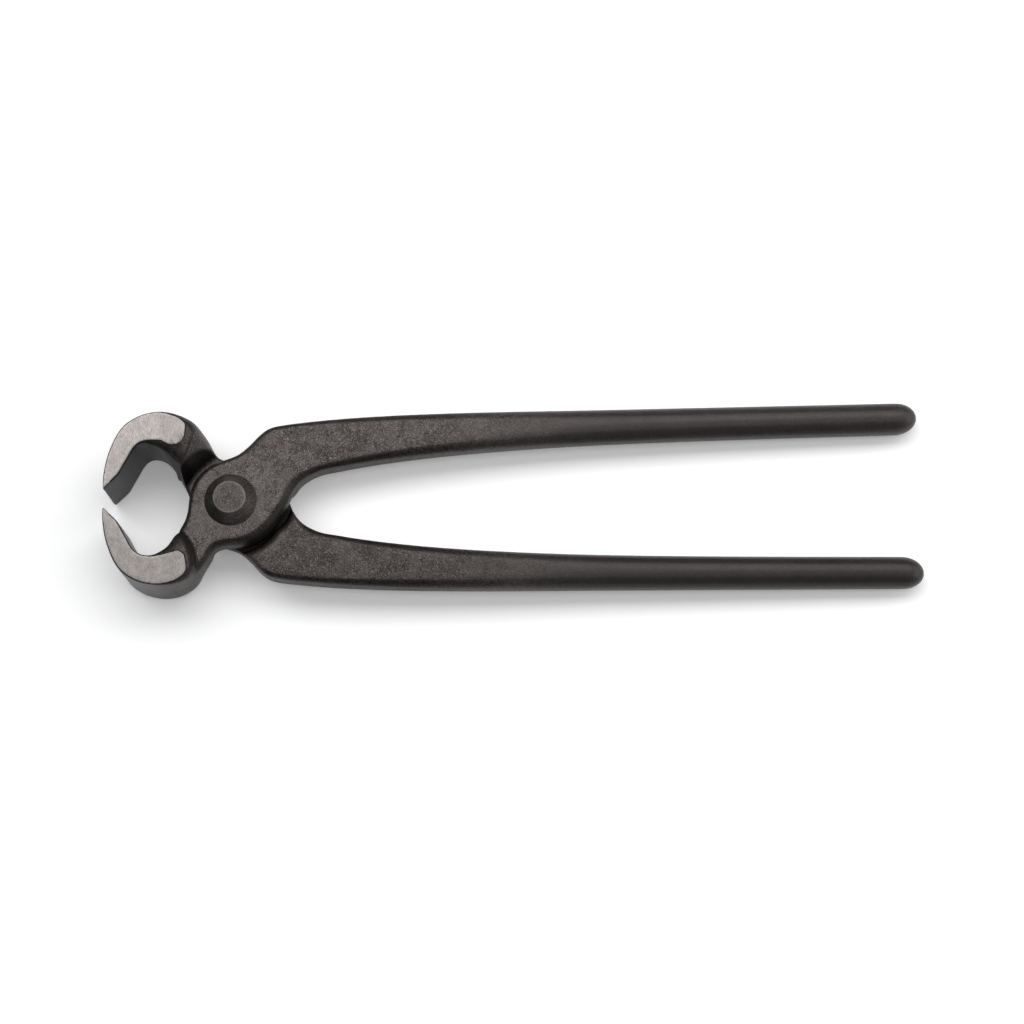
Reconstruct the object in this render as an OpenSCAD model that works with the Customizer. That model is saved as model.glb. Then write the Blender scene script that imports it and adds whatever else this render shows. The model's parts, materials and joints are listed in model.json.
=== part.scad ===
// Carpenters pincers: two drop-forged levers lapped half over half and held by one rivet.
// The drawing frame has the long axis along X with the jaws at -X, and the rivet along Z.
// Z = 0 is the plane where the two levers lie on each other, and the origin is the middle
// of the tool's box as drawn. Each lever is laid out with the tool closed and the rivet at
// the origin, then swung open. All sizes are in millimetres.

/* [Tool] */
// Length of the closed tool, from the front of the jaws to the handle ends
overall_len = 251; // [200:1:300]
// Angle by which the tool stands open as drawn
open_angle = 8.6; // [0:0.1:30]

/* [Jaws] */
// Distance from the rivet to the front of the jaws
jaw_reach = 38.6; // [35:0.1:42]
// Width across the outside of both jaws when closed
head_w = 50.6; // [46:0.2:56]
// Width of the cutting edges, measured along the rivet
jaw_w = 24; // [18:0.5:28]
// Radius of the outside of a jaw, round its back
jaw_r = 16.1; // [14:0.1:18]
// Radius of the outside of a jaw, towards the cutting edge
front_r = 32; // [28:1:36]
// Flat left on the cutting edge
edge_land = 0.3; // [0.2:0.05:0.8]
// Length of the bevel behind the cutting edge
bevel_len = 6.2; // [4:0.1:8]
// Gap left between the cutting edges of the closed tool
edge_gap = 0.04; // [0.02:0.01:0.2]
// Slope of the bevel from the closing line
bevel_angle = 50; // [40:1:60]
// Distance from the rivet to the centre of the mouth's rounded side
mouth_x = 25.3; // [24:0.1:27]
// Distance from the closing line to the centre of the mouth's rounded side
mouth_y = 10.3; // [9:0.1:11.5]
// Radius of the mouth's rounded side
mouth_r = 5.6; // [4.5:0.1:7]
// Forged skin that is ground off each side of the jaws to leave the bright cheeks
grinding = 0.4; // [0.2:0.1:0.8]

/* [Joint] */
// Thickness of each lever at the rivet
layer_t = 7; // [6:0.1:8.5]
// Radius of the eye round the rivet, on the mouth side
eye_r = 12.9; // [11.5:0.1:14]
// Gap between the two lapped faces
lap_gap = 0.1; // [0.04:0.02:0.3]
// Distance from the rivet to the neck's wall, at its foot beside the other lever's eye
neck_wall_d = 14.8; // [14.4:0.1:15.6]
// Radius in the corner at the foot of that wall
neck_fillet = 0.8; // [0.4:0.1:1.5]
// Slope of that wall from upright
neck_draft = 14; // [8:1:20]
// Radius of the shoulder's wall round the other lever's eye, at its foot
shoulder_wall_r = 15.9; // [15.6:0.1:16.4]
// Distance from the rivet to the foot of that wall between the arms, along the tool
crotch_x = 18.2; // [18:0.1:19]
// Length over which the shoulder rises beside the other lever
shoulder_rise = 3.4; // [2:0.1:4]

/* [Rivet] */
// Diameter of the rivet's shank
rivet_d = 9; // [7:0.1:11]
// Radial play of the shank in the levers
rivet_play = 0.05; // [0.02:0.01:0.1]
// Diameter at the foot of each head
head_d = 16; // [13:0.1:19]
// Diameter of the flat top of each head
head_top_d = 9.8; // [8:0.1:12]
// Height of each head
head_h = 4.2; // [2:0.1:4.8]

/* [Arms] */
// Thickness of the arms along the rivet
arm_t = 10; // [8:0.1:12]
// Distance from the closing line to the outside of the shoulder
shoulder_y = 23.2; // [22:0.1:25]
// Diameter of the handles
handle_d = 9.7; // [8:0.1:11.5]
// Distance from the closing line to the middle of the handle's end
handle_y = 8.4; // [7:0.1:12]
// Extra width of the arm where it leaves the shoulder
arm_swell = 6.2; // [4:0.1:7.5]
// Length over which that extra width fades
swell_len = 56; // [40:1:70]
// Length of the rounded handle end
end_len = 6.7; // [4:0.1:9]

/* [Hidden] */

// Colour of forged skin with its black oxide
forged = [0.22, 0.21, 0.20];
// Colour of the rivet, a little smoother than the levers
rivet_skin = [0.26, 0.25, 0.24];

// Points in each rounded corner of a section, and points across each flat
corner_steps = 4;
flat_steps = 2;
// Steps between two stations, in the head and in the arm
head_rings = 4;
arm_rings = 2;
// Sections in the rounded handle end
end_rings = 6;

// Half of the blank's height at the jaws, before grinding
blank_z = jaw_w / 2 + grinding;
// Bend of the arm's centre line inwards at the shoulder, the length over which it fades, and
// the distance behind the rivet at which the bend and the swell are full
arm_bend = 4.7;
bend_len = 33;
bend_x = 28;
// Where the arm starts behind the shoulder, and where the straight handle ends
arm_x = 30;
handle_end = overall_len - jaw_reach;
cap_x = handle_end - end_len;
// Fall of the arm's centre line towards the handle's end
arm_slope = 0.064;
// Angle through which the handle's end is rounded, which leaves a tiny flat
end_turn = 86;
// Least width kept between two rounded corners of the arm
least_flat = 0.3;

// How far the jaw's front bulges beyond its cutting edge, and at what distance from the
// closing line
bulge = 0.3;
bulge_y = 4;
// The outside of the jaw: an arc round its back that runs into a flatter arc in front
jaw_c = [jaw_r - jaw_reach + bulge, jaw_r - head_w / 2];
function jaw_out(a, extra = 0) = jaw_c + (jaw_r + extra) * [cos(a), sin(a)];
function jaw_front(y) = [front_r - jaw_reach - sqrt(pow(front_r, 2) - pow(y + bulge_y, 2)), y];
// A point on the mouth's rounded side
function mouth(a) = [-mouth_x, -mouth_y] + mouth_r * [cos(a), sin(a)];
// A point near the eye, outside its radius by the given extra
function eye(a, extra) = (eye_r + extra) * [cos(a), sin(a)];
// A point between two others
function between(p, q, t) = p + (q - p) * t;
// The cutting edge, which stops just short of the other one, and the bevel behind it
edge_in = [edge_land - jaw_reach + bulge, -edge_gap / 2];
edge_out = [bulge - jaw_reach, -edge_gap / 2];
bevel_end = edge_in + bevel_len * [cos(bevel_angle), -sin(bevel_angle)];

// Centre line, width and edges of the arm at a distance behind the rivet
function arm_mid(x) = handle_y + arm_slope * (handle_end - x) - arm_bend * exp((bend_x - x) / bend_len);
function arm_w(x) = handle_d + arm_swell * exp((bend_x - x) / swell_len);
function arm_out(x) = [x, arm_mid(x) + arm_w(x) / 2];
function arm_in(x) = [x, arm_mid(x) - arm_w(x) / 2];
// Roundness of the arm: edges broken at the shoulder, fully round from the middle on
function arm_round(x) =
    min((arm_t - least_flat) / 2, (handle_d - least_flat) / 2, 1.8 + (x - arm_x) * 0.036);

// A station of the lever, from the mouth side to the outside: plan point on the mouth side,
// plan point on the outside, top, bottom, the width and height of the rounded corners on
// the mouth side and on the outside, how far the station bows towards the handle, how far
// the mouth side is set back on the lapped side, and the outside corner on that side where
// it differs.
function station(p, q, top, bottom, rp, rq, bow = 0, back = 0, rl = undef) =
    concat(p, q, top, bottom, rp, rq, bow, back, is_undef(rl) ? rq : rl);

z1 = blank_z;
sharp = [0.9, 0.8];
arm_top = arm_t / 2;

// The head of a lever. Its neck can carry some extra metal, most on the mouth side.
function head_stations(pad) = [
    // Cutting edge and bevel
    station(edge_in, edge_out, z1, -z1, [0.05, 0.05], [0.05, 0.05]),
    station(between(edge_in, bevel_end, 0.5), jaw_front(-2.9), z1, -z1, [0.5, 0.5], [0.7, 0.6]),
    station(bevel_end, jaw_front(-6.2), z1, -z1, sharp, sharp),
    station(between(bevel_end, mouth(200), 0.4), jaw_front(-10), z1, -z1, sharp, sharp),
    station(between(bevel_end, mouth(200), 0.75), jaw_front(-14), z1, -z1, sharp, sharp),
    // Round the back of the mouth
    station(mouth(205), jaw_front(-17.4), z1, -z1, sharp, sharp),
    station(mouth(229), jaw_out(226), z1, -z1, sharp, sharp),
    station(mouth(252) + pad * [0.1, 0.4], jaw_out(243), z1, -z1, sharp + pad * [0.7, 0.6], sharp),
    station(mouth(279) + pad * [0, 1.1], jaw_out(259), z1, -z1, [1.6, 1.4] + pad * [1.4, 1], sharp),
    station(mouth(306) + pad * [0, 1.4], jaw_out(273, 0.2), z1, -z1,
        [3.2, 2.1] + pad * [1.2, 0.8], [1.3, 1.3], 0, 0.4, [1.3, 2.2]),
    // Neck: high as far as its wall, which drops to the eye
    station(mouth(332) + [0.8, -0.2] + pad * [-0.2, 2.1], jaw_out(286, 0.5), z1, -z1,
        [5.3, 2.7] + pad * [0.9, 0.9], [1.8, 2.3], 0.8, 1.2, [2.2, 5]),
    station(eye(210.5, 7.5) + pad * [-1.3, 1.6], jaw_out(297, 0.6 + 0.3 * pad), z1 - 0.45, 0.6 - z1,
        [8, 2.4], [2.3, 3.2], 1.7, 2.2, [2.8, 7.5]),
    station(eye(209.5, 6.1) + pad * [-1, 1], jaw_out(304, 0.4 + 0.5 * pad), 11.2, -11.3,
        [4, 2], [2.4, 3.4], 1.85, 2.2, [3.3, 9]),
    station(eye(205, 4.9) + pad * [-1.1, 0.3], jaw_out(310, 0.2 + 0.5 * pad), layer_t + 0.1, -10.2,
        [1.8, 1.4], [2.4, 3], 1.8, 1.6, [4.1, 9.2]),
    station(eye(198.7, 2.4) + pad * [-0.9, 0.3], jaw_out(323, 0.4 * pad), layer_t, -8,
        [1.8, 1.8], [2.2, 2.8], 1.2, 0.8, [4.2, 7.5]),
    // Eye
    station(eye(187.6, 0.6) + pad * [-0.4, 0], eye(247.5, 3.3), layer_t, -7,
        [2, 2], [2.2, 3], 0, 0, [3.3, 5.5]),
    station(eye(173.8, 0), eye(259.5, 1.2), layer_t, -6.5, [2, 2], [2.4, 3]),
    station(eye(158.6, 0), eye(278, 1.2), layer_t, -6.2, [2, 2], [2.8, 4]),
    station(eye(139.7, 0), eye(297.4, 1.8), layer_t, -5.8, [2, 2], [3.2, 4.5]),
    station(eye(118.8, 0), eye(317, 2.2), layer_t, -5.4, [1.8, 1.8], [3.2, 4.5]),
    station(eye(97, 0.1), eye(335.6, 2.8), layer_t, -5.1, [1.6, 1.6], [3, 4]),
    // Shoulder
    station(eye(78.2, 1.7), eye(351.2, 4.1), layer_t - 0.2, -arm_top, [1.4, 1.4], [2.6, 3]),
    station(eye(68.4, 5.6), eye(364.8, 6.2), between(layer_t, arm_top, 0.4), -arm_top,
        [1.5, 1.5], [2.2, 2.4]),
    station([10, shoulder_y - 2.9], [21.4, 4.5], between(layer_t, arm_top, 0.7), -arm_top,
        [1.6, 1.6], [2, 2]),
    station([13.4, shoulder_y - 0.8], [24.8, 6.5], between(layer_t, arm_top, 0.9), -arm_top,
        [1.7, 1.7], [1.9, 1.9]),
    station([18.6, shoulder_y - 0.1], [28.6, 7.7], arm_top, -arm_top, [1.7, 1.7], [1.8, 1.8])
];

// Stations of the arm stand upright on its centre line, further apart towards the handle
arm_steps = 11;
arm_stations = [
    for (i = [0 : arm_steps])
        let (
            x = arm_x + (cap_x - arm_x) * pow(i / arm_steps, 1.4),
            lean = 2.75 * exp((arm_x - x) / 9),
            r = arm_round(x)
        )
        station(arm_out(x - lean), arm_in(x + lean), arm_top, -arm_top, [r, r], [r, r])
];

// A smooth curve through the stations, for every value of a station at once
function blend(a, b, c, d, t) =
    (2 * b + (c - a) * t + (2 * a - 5 * b + 4 * c - d) * t * t + (3 * b - a - 3 * c + d) * t * t * t) / 2;
function at(list, i) = list[max(0, min(len(list) - 1, i))];
function sections(list) = concat(
    [for (i = [0 : len(list) - 2])
        let (steps = list[i][0] < arm_x - 5 ? head_rings : arm_rings)
        for (k = [0 : steps - 1])
            blend(at(list, i - 1), at(list, i), at(list, i + 1), at(list, i + 2), k / steps)],
    [list[len(list) - 1]]
);

// One rounded section, as points that run once round it. u is the way across the lever.
function across(s, u, z) =
    let (
        way = [s[2] - s[0], s[3] - s[1]],
        bow = s[10] * 4 * u * (1 - u) / norm(way)
    )
    [s[0] + way[0] * u - way[1] * bow, s[1] + way[1] * u + way[0] * bow, z];
function corner(s, u0, z0, ru, rz, a0) = [
    for (k = [0 : corner_steps])
        let (a = a0 + 90 * k / corner_steps)
        across(s, u0 + ru * cos(a), z0 + rz * sin(a))
];
function flat(s, u0, u1, z) = [
    for (k = [1 : flat_steps])
        across(s, u0 + (u1 - u0) * k / (flat_steps + 1), z)
];
function ring(s) =
    let (
        w = norm([s[2] - s[0], s[3] - s[1]]),
        up = min(s[6] / w, 0.49), zp = s[7],
        uq = min(s[8] / w, 0.49), zq = s[9],
        top = s[4], bottom = s[5],
        back = s[11] / w,
        ul = min(s[12] / w, 0.49), zl = s[13]
    )
    concat(
        corner(s, 1 - uq, top - zq, uq, zq, 0),
        flat(s, 1 - uq, up, top),
        corner(s, up, top - zp, up, zp, 90),
        corner(s, back + up, bottom + zp, up, zp, 180),
        flat(s, back + up, 1 - ul, bottom),
        corner(s, 1 - ul, bottom + zl, ul, zl, 270)
    );

// The handle's end: the last section drawn in along a quarter ellipse
function shrunk(points, c, f, dx) = [
    for (p = points)
        [c[0] + (p[0] - c[0]) * f + dx, c[1] + (p[1] - c[1]) * f, p[2] * f]
];
function cap_rings(section) = [
    for (k = [1 : end_rings])
        let (a = end_turn * k / end_rings)
        shrunk(ring(section), [cap_x, arm_mid(cap_x)], cos(a), end_len * sin(a) / sin(end_turn))
];
function rings(pad) =
    let (list = sections(concat(head_stations(pad), arm_stations)))
    concat([for (s = list) ring(s)], cap_rings(list[len(list) - 1]));

// A closed skin over a list of rings that have as many points each
module skin(list) {
    n = len(list[0]);
    m = len(list);
    sides = [
        for (i = [0 : m - 2]) for (j = [0 : n - 1])
            let (a = i * n + j, b = i * n + (j + 1) % n, c = a + n, d = b + n)
            each [[a, d, c], [a, b, d]]
    ];
    ends = [[for (j = [0 : n - 1]) n - 1 - j], [for (j = [0 : n - 1]) (m - 1) * n + j]];
    polyhedron(points = [for (r = list) each r], faces = concat(sides, ends));
}

// Radius in plan of the neck's wall, and the direction in which it lies from the rivet
wall_bow_r = 25;
wall_dir = 214;
// Radius of the shoulder's wall between the arms
crotch_r = 8.6;

// The recess on the lapped side of a lever, where the other lever lies in it. Its neck's
// wall stands steep and nearly straight, and its shoulder's wall follows the other lever's
// eye and rises in a soft curve.
module neck_side() {
    depth = jaw_w;
    lean = tan(neck_draft);
    turn = 90 - neck_draft;
    fillet = [for (k = [0 : 4]) neck_fillet * [sin(turn * k / 4), 1 - cos(turn * k / 4)]];
    foot = fillet[4];
    rotate([0, 0, wall_dir]) translate([neck_wall_d - wall_bow_r, 0, 0])
        rotate_extrude($fn = 180)
            polygon(concat(
                [[0, 0]],
                [for (f = fillet) [wall_bow_r + f[0], f[1]]],
                [[wall_bow_r + foot[0] + (depth - foot[1]) * lean, depth], [0, depth]]
            ));
}
module shoulder_side(x, r) {
    rise = arm_top + 0.1;
    translate([x, 0, 0])
        rotate_extrude($fn = 120)
            polygon(concat(
                [[0, 0]],
                [for (k = [0 : 10]) [r + shoulder_rise * (1 - cos(9 * k)), rise * sin(9 * k)]],
                [[r + shoulder_rise, jaw_w], [0, jaw_w]]
            ));
}
module half_space(dir) {
    overlap = 2;
    rotate([0, 0, dir]) translate([-overlap, -head_w, -jaw_w])
        cube([2 * head_w, 2 * head_w, 3 * jaw_w]);
}
module recess() {
    translate([0, 0, lap_gap / 2]) mirror([0, 0, 1]) {
        intersection() {
            neck_side();
            half_space(wall_dir);
        }
        intersection() {
            union() {
                shoulder_side(0, shoulder_wall_r);
                shoulder_side(crotch_x - crotch_r, crotch_r);
            }
            half_space(wall_dir - 180);
        }
    }
}

// One lever, laid out closed with the rivet's axis at the origin
module lever(pad) {
    difference() {
        intersection() {
            skin(rings(pad));
            translate([-overall_len, -head_w, -jaw_w / 2])
                cube([2 * overall_len, 2 * head_w, jaw_w]);
        }
        recess();
        cylinder(d = rivet_d + 2 * rivet_play, h = 3 * jaw_w, center = true, $fn = 64);
    }
}

// Middle of the tool's length as drawn, measured from the rivet
function swung_x(p) = p[0] * cos(open_angle / 2) - p[1] * sin(open_angle / 2);
lever_x = [for (r = rings(0)) for (p = r) swung_x(p)];
mid_x = (min(lever_x) + max(lever_x)) / 2;

module swing(a) {
    translate([-mid_x, 0, 0]) rotate([0, 0, a]) children();
}

// Upper lever at the rivet: its handle is at +Y and its jaw at -Y
module front_lever() {
    color(forged) swing(open_angle / 2) lever(0);
}

// Lower lever at the rivet, turned over, with a little more metal in its neck
module rear_lever() {
    color(forged) swing(-open_angle / 2) rotate([180, 0, 0]) lever(1);
}

// Rivet with its two heads closed down as low cones with flat tops
module rivet() {
    head_z = layer_t + lap_gap / 2;
    color(rivet_skin)
        translate([-mid_x, 0, 0])
            rotate_extrude($fn = 96)
                polygon([
                    [0, -head_z - head_h], [head_top_d / 2, -head_z - head_h], [head_d / 2, -head_z],
                    [rivet_d / 2, -head_z], [rivet_d / 2, head_z],
                    [head_d / 2, head_z], [head_top_d / 2, head_z + head_h], [0, head_z + head_h]
                ]);
}

front_lever();
rear_lever();
rivet();
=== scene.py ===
import json
import math

import bpy
from mathutils import Matrix, Vector


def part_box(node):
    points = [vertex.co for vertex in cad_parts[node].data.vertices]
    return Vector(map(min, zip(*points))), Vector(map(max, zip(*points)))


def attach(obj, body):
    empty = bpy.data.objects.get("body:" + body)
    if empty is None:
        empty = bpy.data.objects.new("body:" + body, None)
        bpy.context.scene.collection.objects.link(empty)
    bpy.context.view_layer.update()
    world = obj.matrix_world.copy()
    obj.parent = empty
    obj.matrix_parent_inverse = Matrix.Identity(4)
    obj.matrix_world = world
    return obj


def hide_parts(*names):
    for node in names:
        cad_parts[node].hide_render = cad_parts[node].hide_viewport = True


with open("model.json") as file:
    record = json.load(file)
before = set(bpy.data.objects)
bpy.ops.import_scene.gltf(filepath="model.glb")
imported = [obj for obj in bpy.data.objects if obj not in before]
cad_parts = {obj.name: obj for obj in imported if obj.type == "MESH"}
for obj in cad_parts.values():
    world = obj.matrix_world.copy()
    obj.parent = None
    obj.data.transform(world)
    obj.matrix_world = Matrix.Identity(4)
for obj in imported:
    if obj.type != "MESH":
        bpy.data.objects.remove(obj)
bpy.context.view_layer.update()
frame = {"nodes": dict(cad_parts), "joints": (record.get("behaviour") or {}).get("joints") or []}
mm = 0.001


# The photographer's view: the tool lies on a white table and the camera looks down on it
# from the side of the rear handle, almost overhead, with a short telephoto lens. Places
# are counted from the rivet, which is where the hinge is.
rivet_at = Vector(frame["joints"][0]["pos_m"])
camera_target = rivet_at + Vector((85.67, -3.42, 0)) * mm
camera_distance = 760 * mm
camera_tilt = math.radians(12.67)
camera_roll = math.radians(-0.80)
bpy.ops.object.select_all(action="DESELECT")
bpy.ops.object.camera_add()
camera = bpy.context.object
camera.name = "camera"
camera.data.sensor_width = 36
camera.data.lens = 87.03
camera.data.clip_start = 0.01
camera.data.clip_end = 20
back = Vector((0, -math.sin(camera_tilt), math.cos(camera_tilt)))
camera.matrix_world = (
    Matrix.Translation(camera_target + back * camera_distance)
    @ Matrix.Rotation(camera_tilt, 4, "X")
    @ Matrix.Rotation(camera_roll, 4, "Z")
)
bpy.context.scene.camera = camera
bpy.context.scene.view_settings.view_transform = "Standard"


# The white table. The tool lies on the lower ends of its ground jaw sides and on its
# handle ends, so in the tool's own frame the table slopes a little. Its white is its own
# colour, lifted a little for the camera, and it keeps the tool's soft shadow.
class Value:
    """A socket that can be used in sums."""

    def __init__(self, finish, socket):
        self.finish = finish
        self.socket = socket

    def sum(self, kind, *others):
        return self.finish.node("ShaderNodeMath", {"operation": kind}, dict(enumerate((self,) + others)))

    def __add__(self, other):
        return self.sum("ADD", other)

    __radd__ = __add__

    def __mul__(self, other):
        return self.sum("MULTIPLY", other)

    __rmul__ = __mul__

    def __sub__(self, other):
        return self.sum("SUBTRACT", other)

    def __rsub__(self, other):
        return self.finish.node("ShaderNodeMath", {"operation": "SUBTRACT"}, {0: other, 1: self})

    def __truediv__(self, other):
        return self.sum("DIVIDE", other)

    def __pow__(self, other):
        return self.sum("POWER", other)

    def __abs__(self):
        return self.sum("ABSOLUTE")

    def least(self, other):
        return self.sum("MINIMUM", other)

    def most(self, other):
        return self.sum("MAXIMUM", other)

    def step(self, low, high):
        """0 below low, 1 above high, and a smooth rise between them."""
        return self.finish.node(
            "ShaderNodeMapRange",
            {"interpolation_type": "SMOOTHSTEP"},
            {"Value": self, "From Min": low, "From Max": high},
            "Result",
        )


class Finish:
    """A material, and the one way in which its nodes are made."""

    def __init__(self, name):
        self.material = bpy.data.materials.new(name)
        self.material.use_nodes = True
        self.tree = self.material.node_tree
        self.tree.nodes.clear()

    def node(self, kind, settings=None, inputs=None, output=0):
        made = self.tree.nodes.new(kind)
        for key, value in (settings or {}).items():
            setattr(made, key, value)
        for key, value in (inputs or {}).items():
            if isinstance(value, Value):
                self.tree.links.new(value.socket, made.inputs[key])
            else:
                made.inputs[key].default_value = value
        return Value(self, made.outputs[output])

    def place(self):
        return self.node("ShaderNodeTexCoord", output="Object")

    def parts(self, vector):
        return [self.node("ShaderNodeSeparateXYZ", None, {"Vector": vector}, k) for k in range(3)]

    def noise(self, place, size, detail=3.0, roughness=0.55, stretch=(1, 1, 1), curl=0.0):
        """Noise whose grains are about size metres across, stretched along the axes."""
        spot = self.node(
            "ShaderNodeMapping", None, {"Vector": place, "Scale": [1 / (size * s) for s in stretch]}
        )
        return self.node(
            "ShaderNodeTexNoise",
            None,
            {"Vector": spot, "Scale": 1.0, "Detail": detail, "Roughness": roughness, "Distortion": curl},
        )

    def mix(self, share, first, second):
        return self.node("ShaderNodeMix", {"data_type": "RGBA"}, {0: share, 6: first, 7: second}, 2)

    def end(self, surface):
        last = self.tree.nodes.new("ShaderNodeOutputMaterial")
        self.tree.links.new(surface.socket, last.inputs["Surface"])


table_slope = math.atan2(7.1, 222)
table_foot = rivet_at + Vector((-15, 0, -12.02)) * mm
table_size = 12.0
bpy.ops.object.select_all(action="DESELECT")
bpy.ops.mesh.primitive_plane_add(size=table_size)
table = bpy.context.object
table.name = "table"
table.data.transform(
    Matrix.Translation(table_foot) @ Matrix.Rotation(-table_slope, 4, "Y")
)
white = Finish("white_table")
seen = white.node("ShaderNodeLightPath", output="Is Camera Ray")
mirrored = white.node("ShaderNodeLightPath", output="Is Glossy Ray")
through = white.node("ShaderNodeLightPath", output="Is Transmission Ray")
lift = white.node(
    "ShaderNodeEmission", None, {"Color": (1, 1, 1, 1), "Strength": seen.most(mirrored).most(through) * 0.19}
)
paper = white.node("ShaderNodeBsdfDiffuse", None, {"Color": (0.95, 0.95, 0.955, 1)})
white.end(white.node("ShaderNodeAddShader", None, {0: paper, 1: lift}))
table.data.materials.append(white.material)


# Two softboxes hang over the table, a bright one on the far side and a weaker one overhead,
# a third stands low by the handle ends, and the room is dim. The round handles show the
# first two as a light band between two dark ones.
def softbox(name, low, high, strength, length, turn=0):
    """A box that spans the angles low to high from upright, strength times paper white."""
    middle = math.radians((low + high) / 2)
    depth = 2 * lamp_distance * math.tan(math.radians(high - low) / 2)
    bpy.ops.object.select_all(action="DESELECT")
    bpy.ops.object.light_add(type="AREA")
    lamp = bpy.context.object
    lamp.name = name
    lamp.data.shape = "RECTANGLE"
    lamp.data.size = length
    lamp.data.size_y = depth
    lamp.data.energy = math.pi * length * depth * strength
    lamp.matrix_world = (
        Matrix.Rotation(math.radians(turn), 4, "Z")
        @ Matrix.Rotation(-middle, 4, "X")
        @ Matrix.Translation((0, 0, lamp_distance))
    )


lamp_distance = 2.0
softbox("far_softbox", 12, 42, 3.2, 3.8)
softbox("overhead_softbox", -14, 2, 1.25, 3.8)
softbox("side_softbox", 54, 84, 2.3, 2.0, turn=-90)

world = bpy.data.worlds.new("dim_room")
bpy.context.scene.world = world
world.use_nodes = True
world.node_tree.nodes["Background"].inputs["Color"].default_value = (0.95, 0.97, 1, 1)
world.node_tree.nodes["Background"].inputs["Strength"].default_value = 0.175


# The two levers are drop forgings. They keep the dull grainy skin of the forge, blackened,
# which is worn smoother on the round handles. The sides of the jaws are ground bright.
voxel = 0.3 * mm
most_triangles = 185000
jaw_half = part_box("front_lever")[1].z


def forged_skin(steel, place, rough, rays=0.0):
    """Colour and relief of the blackened skin, which is grainy where rough is 1, with the
    grain drawn outwards from the rivet where rays is 1."""
    x, y, z = steel.parts(place)
    off_axis = ((x - rivet_at.x) ** 2 + y ** 2) ** 0.5
    outwards = steel.node(
        "ShaderNodeCombineXYZ",
        None,
        {"X": (x - rivet_at.x) / off_axis * 14 * mm, "Y": y / off_axis * 14 * mm, "Z": off_axis * 0.36 + z},
    )
    worms = 1 - (abs(steel.noise(place, 0.9 * mm, 1, 0.5, curl=1.1) - 0.5) * 12).least(1)
    drawn = 1 - (abs(steel.noise(outwards, 0.8 * mm, 1, 0.5, curl=0.6) - 0.5) * 12).least(1)
    worms = worms * (1 - rays) + drawn * rays
    fine = steel.noise(place, 0.35 * mm, 2, 0.5)
    patches = steel.noise(place, 8 * mm, 2, 0.5)
    lively = steel.noise(place, 4 * mm, 2, 0.5).step(0.38, 0.62) * 0.6 + 0.5
    grain = (worms - 0.45) * rough * lively
    shade = grain * 0.75 + (fine - 0.5) * rough * 1.8 + (patches - 0.5) * 0.3 + 0.5
    colour = steel.mix(shade.least(1).most(0), (0.034, 0.0298, 0.0284, 1), (0.172, 0.151, 0.144, 1))
    return colour, grain * 0.5 + fine * rough * 0.5


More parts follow.
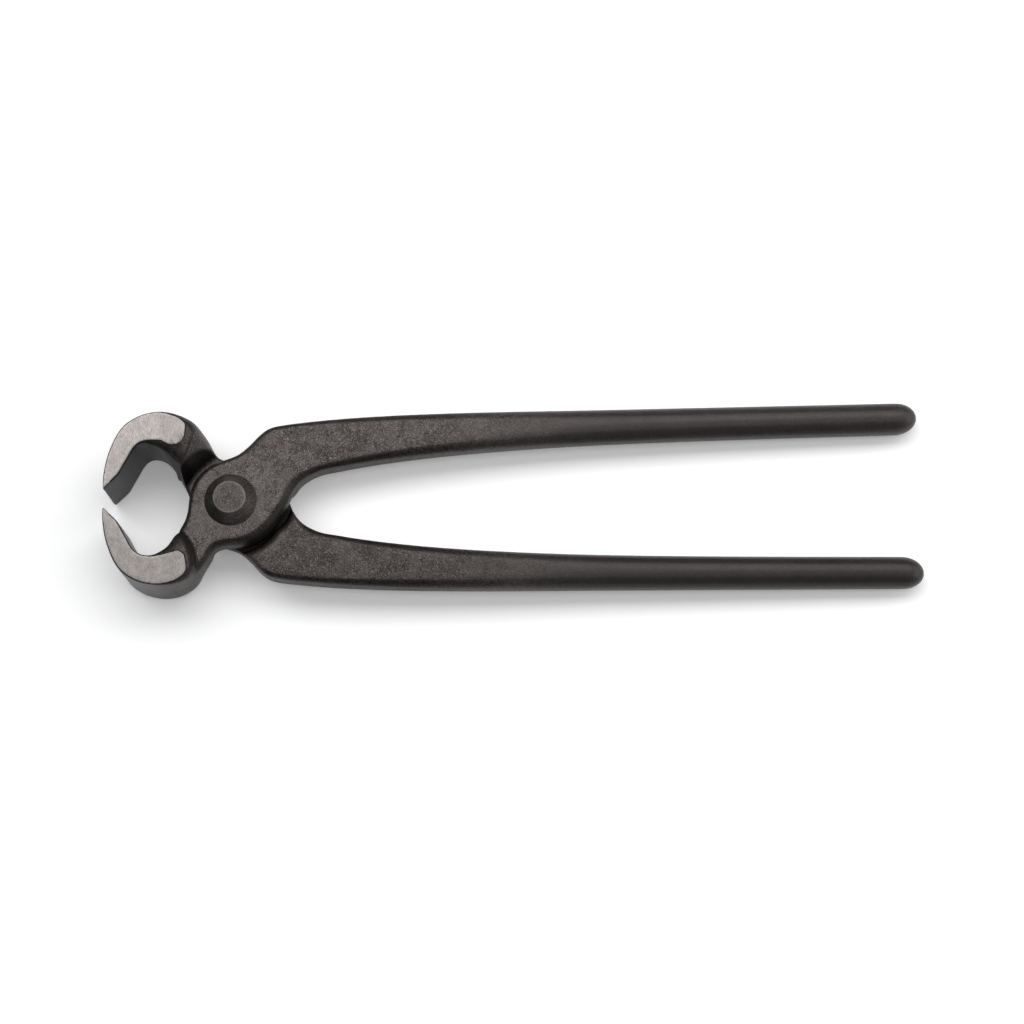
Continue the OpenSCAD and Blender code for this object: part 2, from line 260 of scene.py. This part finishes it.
def lever_steel(name, painted_skin_light, painted_ground_light, recess_side):
    steel = Finish(name)
    place = steel.place()
    x, y, z = steel.parts(place)
    # The jaw sides: where grinding has taken the skin off, with a dark line along its border
    ragged = (steel.noise(place, 1.5 * mm) - 0.5) * (0.012 * mm)
    ground = (abs(z) + ragged).step(jaw_half - 0.03 * mm, jaw_half - 0.012 * mm)
    border = abs(z).step(jaw_half - 0.14 * mm, jaw_half - 0.06 * mm) * (1 - ground)
    # The handles, worn smoother than the head, and the jaw's walls, which are dressed smooth
    handle = x.step(rivet_at.x + 45 * mm, rivet_at.x + 120 * mm)
    jaw = 1 - x.step(rivet_at.x - 24 * mm, rivet_at.x - 17 * mm)
    rough = (1 - handle * 0.68) * (1 - jaw * 0.7)
    off_axis = ((x - rivet_at.x) ** 2 + y ** 2) ** 0.5
    dark, relief = forged_skin(steel, place, rough, (1 - off_axis.step(14 * mm, 26 * mm)) * 0.5)
    dark = steel.mix(painted_skin_light, (0, 0, 0, 1), dark)
    dark = steel.mix(jaw, dark, (0.056, 0.0555, 0.0575, 1))
    dark = steel.mix(border * 0.75, dark, (0.01, 0.0095, 0.0095, 1))
    # Painted shade: the shoulder's recess, the sloping edges and walls, a crease on the neck and the inside of the
    # mouth (more deeper in) are painted darker where shade falls; the handles also get a darker skin of their own
    shoulder = x.step(rivet_at.x - 4 * mm, rivet_at.x + 2 * mm)
    # Painted shade in the shoulder's recess beside the other lever's eye
    recess = (1 - abs(z).step(0.8 * mm, 4.8 * mm)) * (1 - off_axis.step(18 * mm, 24 * mm)) * shoulder
    cut = (z * recess_side).step(0, 0.3 * mm) * (1 - off_axis.step(22 * mm, 25 * mm))
    upright = steel.node("ShaderNodeAttribute", {"attribute_name": "upright"}, output="Fac")
    # Painted shade on the sloping edges, which turn away from the lamps, and less on the walls
    sloping = 1 - upright.step(0.955, 0.997)
    wall = 1 - upright.step(0.15, 0.4)
    edge = sloping * (1 - wall * 0.6) * (1 - cut) * (1 - jaw) * (1 - handle)
    neck = cut * (1 - x.step(rivet_at.x - 8 * mm, rivet_at.x - 2 * mm))
    # Painted shade in the crease of the neck's hollow
    crease = sloping * upright.step(0.74, 0.86) * neck
    # Painted shade inside the mouth, darker deeper in
    off_mouth = ((x - rivet_at.x + 23 * mm) ** 2 + y ** 2) ** 0.5
    mouth = (1 - off_mouth.step(18.5 * mm, 20 * mm)) * (1 - x.step(rivet_at.x - 24 * mm, rivet_at.x - 21 * mm))
    mouth = mouth.most(1 - off_mouth.step(14 * mm, 16 * mm)) * y.step(0, 2 * mm) * (1 - upright.step(0.4, 0.7))
    deep = x.step(rivet_at.x - 36 * mm, rivet_at.x - 26 * mm)
    # The handles' darker skin, together with painted shade in the recess, on sloping edges, in the mouth and in the
    # neck's crease
    scale_and_painted_shade = (recess * 0.85).most(handle * 0.65).most(edge * 0.72).most(mouth * (deep * 0.35 + 0.4)).most(crease * 0.6)
    dark = steel.mix(scale_and_painted_shade, dark, (0.015, 0.0125, 0.0117, 1))
    scratches = steel.noise(place, 0.13 * mm, 3, 0.65, (1, 7, 1))
    specks = steel.noise(place, 0.3 * mm, 3, 0.7)
    clouds = steel.noise(place, 3 * mm, 3, 0.6)
    polish = (scratches - 0.5) * 1.5 + (specks - 0.5) * 1.1 + (clouds - 0.5) * 0.5 + 0.5
    bright = steel.mix(polish.least(1).most(0), (0.09, 0.083, 0.079, 1), (0.385, 0.354, 0.337, 1))
    bright = steel.mix(painted_ground_light, (0, 0, 0, 1), bright)
    relief = relief * (1 - ground) + scratches * ground * 0.1
    normal = steel.node("ShaderNodeBump", None, {"Strength": 1.0, "Distance": 0.12 * mm, "Height": relief})
    steel.end(steel.node(
        "ShaderNodeBsdfPrincipled",
        None,
        {
            "Base Color": steel.mix(ground, dark, bright),
            "Metallic": 0.95 + ground * 0.05 - handle * 0.45,
            "Specular IOR Level": 0.25,
            "Roughness": 0.5 - handle * 0.14 - jaw * 0.08 - ground * 0.12,
            "Normal": normal,
        },
    ))
    return steel.material


def forging(node, body, name, painted_skin_light, painted_ground_light, recess_side):
    """The lever's solid with every edge softened as forging and tumbling leave it."""
    bpy.ops.object.select_all(action="DESELECT")
    piece = bpy.data.objects.new(name, frame["nodes"][node].data.copy())
    bpy.context.scene.collection.objects.link(piece)
    piece.select_set(True)
    bpy.context.view_layer.objects.active = piece
    bpy.ops.object.mode_set(mode="EDIT")
    bpy.ops.mesh.select_all(action="SELECT")
    bpy.ops.mesh.remove_doubles(threshold=0.002 * mm)
    bpy.ops.object.mode_set(mode="OBJECT")
    skin = piece.modifiers.new("skin", "REMESH")
    skin.mode = "VOXEL"
    skin.voxel_size = voxel
    bpy.ops.object.modifier_apply(modifier=skin.name)
    # The cutting edge keeps its corners, the jaw and the bore are softened a little, and
    # the rest more
    dulled = piece.vertex_groups.new(name="dulled")
    edge_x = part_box(node)[0].x
    for corner in piece.data.vertices:
        place = (corner.co - rivet_at) / mm
        behind = (corner.co.x - edge_x) / mm
        out = place.xy.length
        share = 0.12 if out < 8 else min(1.0, max(0.6, 0.6 + (place.x - 14) / 20))
        if place.x > 60:
            share = max(0.5, 1.0 - (place.x - 60) / 60)
        if place.x < 0:
            share = min(share, max(0.12, (23 - out) / 5))
        if behind < 4 and abs(place.y) < 5:
            share = 0.02 if place.z > -10 else 0.5
        dulled.add([corner.index], share, "REPLACE")
    soft = piece.modifiers.new("soft", "SMOOTH")
    soft.factor = 0.5
    soft.iterations = 60
    soft.vertex_group = dulled.name
    bpy.ops.object.modifier_apply(modifier=soft.name)
    piece.vertex_groups.clear()
    # Beside the recess the ground side ends in a round
    for corner in piece.data.vertices:
        place = (corner.co - rivet_at) / mm
        if math.dist(place.xy, (-17.5, 20.1 * recess_side)) < 3.75 and place.z * recess_side > 11:
            corner.co.z = jaw_half * recess_side
    fewer = piece.modifiers.new("fewer", "DECIMATE")
    fewer.ratio = min(1, most_triangles / (2 * len(piece.data.polygons)))
    bpy.ops.object.modifier_apply(modifier=fewer.name)
    bpy.ops.object.shade_smooth()
    # How far from upright the skin is turned tells the finish where the edges and walls are, which it paints darker as
    # shade
    upright = piece.data.attributes.new("upright", "FLOAT", "POINT")
    for corner in piece.data.vertices:
        upright.data[corner.index].value = abs(corner.normal.z)
    piece.data.materials.clear()
    piece.data.materials.append(lever_steel(name + "_steel", painted_skin_light, painted_ground_light, recess_side))
    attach(piece, body)
    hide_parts(node)
    return piece


# The two levers are the same steel; their skin and ground sides are painted at different brightness, as painted light
# and shade
forging("front_lever", "front", "front_lever_forging", 1.0, 0.85, -1)
forging("rear_lever", "rear", "rear_lever_forging", 0.82, 0.96, 1)


# The rivet is a short steel bar, closed down hot over both levers into two low cones
# with flat tops. Its heads carry the same blackened skin as the levers.
low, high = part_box("rivet")
head_r = (high.x - low.x) / 2
head_top_r = 4.9 * mm
shank_r = 4.5 * mm
head_top = high.z
head_foot = head_top - 4.2 * mm
edge_r = 0.45 * mm


def rivet_profile():
    """Half of the rivet's outline, from the middle of the top to the middle of the shank."""
    slope = math.atan2(head_top - head_foot, head_r - head_top_r)
    top = [(0, head_top), (head_top_r * 0.6, head_top)]
    reach = edge_r * math.tan(slope / 2)
    centre = Vector((head_top_r - reach, head_top - edge_r))
    round_edge = [
        (centre.x + edge_r * math.sin(a), centre.y + edge_r * math.cos(a))
        for a in (slope * k / 6 for k in range(7))
    ]
    foot = [(head_r - 0.12 * mm, head_foot + 0.16 * mm), (head_r, head_foot), (shank_r, head_foot)]
    return top + round_edge + foot


profile = rivet_profile()
profile += [(r, -z) for r, z in reversed(profile)]
mesh = bpy.data.meshes.new("rivet_closed")
mesh.from_pydata([(rivet_at.x + r, 0, z) for r, z in profile], [(k, k + 1) for k in range(len(profile) - 1)], [])
rivet = bpy.data.objects.new("rivet_closed", mesh)
bpy.context.scene.collection.objects.link(rivet)
bpy.ops.object.select_all(action="DESELECT")
rivet.select_set(True)
bpy.context.view_layer.objects.active = rivet
bpy.ops.object.mode_set(mode="EDIT")
bpy.ops.mesh.select_all(action="SELECT")
bpy.ops.mesh.spin(steps=128, angle=math.tau, center=rivet_at, axis=(0, 0, 1))
bpy.ops.mesh.select_all(action="SELECT")
bpy.ops.mesh.remove_doubles(threshold=0.002 * mm)
bpy.ops.mesh.normals_make_consistent(inside=False)
bpy.ops.object.mode_set(mode="OBJECT")
bpy.ops.object.shade_smooth_by_angle(angle=math.radians(30))
rivet_steel = Finish("rivet_skin")
place = rivet_steel.place()
x, y, z = rivet_steel.parts(place)
skin, relief = forged_skin(rivet_steel, place, 0.9)
off_axis = ((x - rivet_at.x) ** 2 + y ** 2) ** 0.5
cone = off_axis.step(head_top_r, head_top_r + 0.25 * mm)
# Painted shade: the cone's flank is painted darker than the flat top, and the whole head a little darker
skin = rivet_steel.mix(0.88 - cone * 0.16, (0, 0, 0, 1), skin)
# Tumbling has worn the skin thin round the rim of the flat
rim = off_axis.step(head_top_r - 0.5 * mm, head_top_r - 0.2 * mm)
rim = rim * (1 - cone)
worn = rivet_steel.noise(place, 0.8 * mm, 3, 0.6)
rivet_steel.end(rivet_steel.node(
    "ShaderNodeBsdfPrincipled",
    None,
    {
        "Base Color": rivet_steel.mix(rim * worn, skin, (0.19, 0.174, 0.168, 1)),
        "Metallic": 0.85,
        "Roughness": 0.48,
        "Normal": rivet_steel.node("ShaderNodeBump", None, {"Strength": 1.0, "Distance": 0.09 * mm, "Height": relief}),
    },
))
rivet.data.materials.append(rivet_steel.material)
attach(rivet, "front")
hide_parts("rivet")
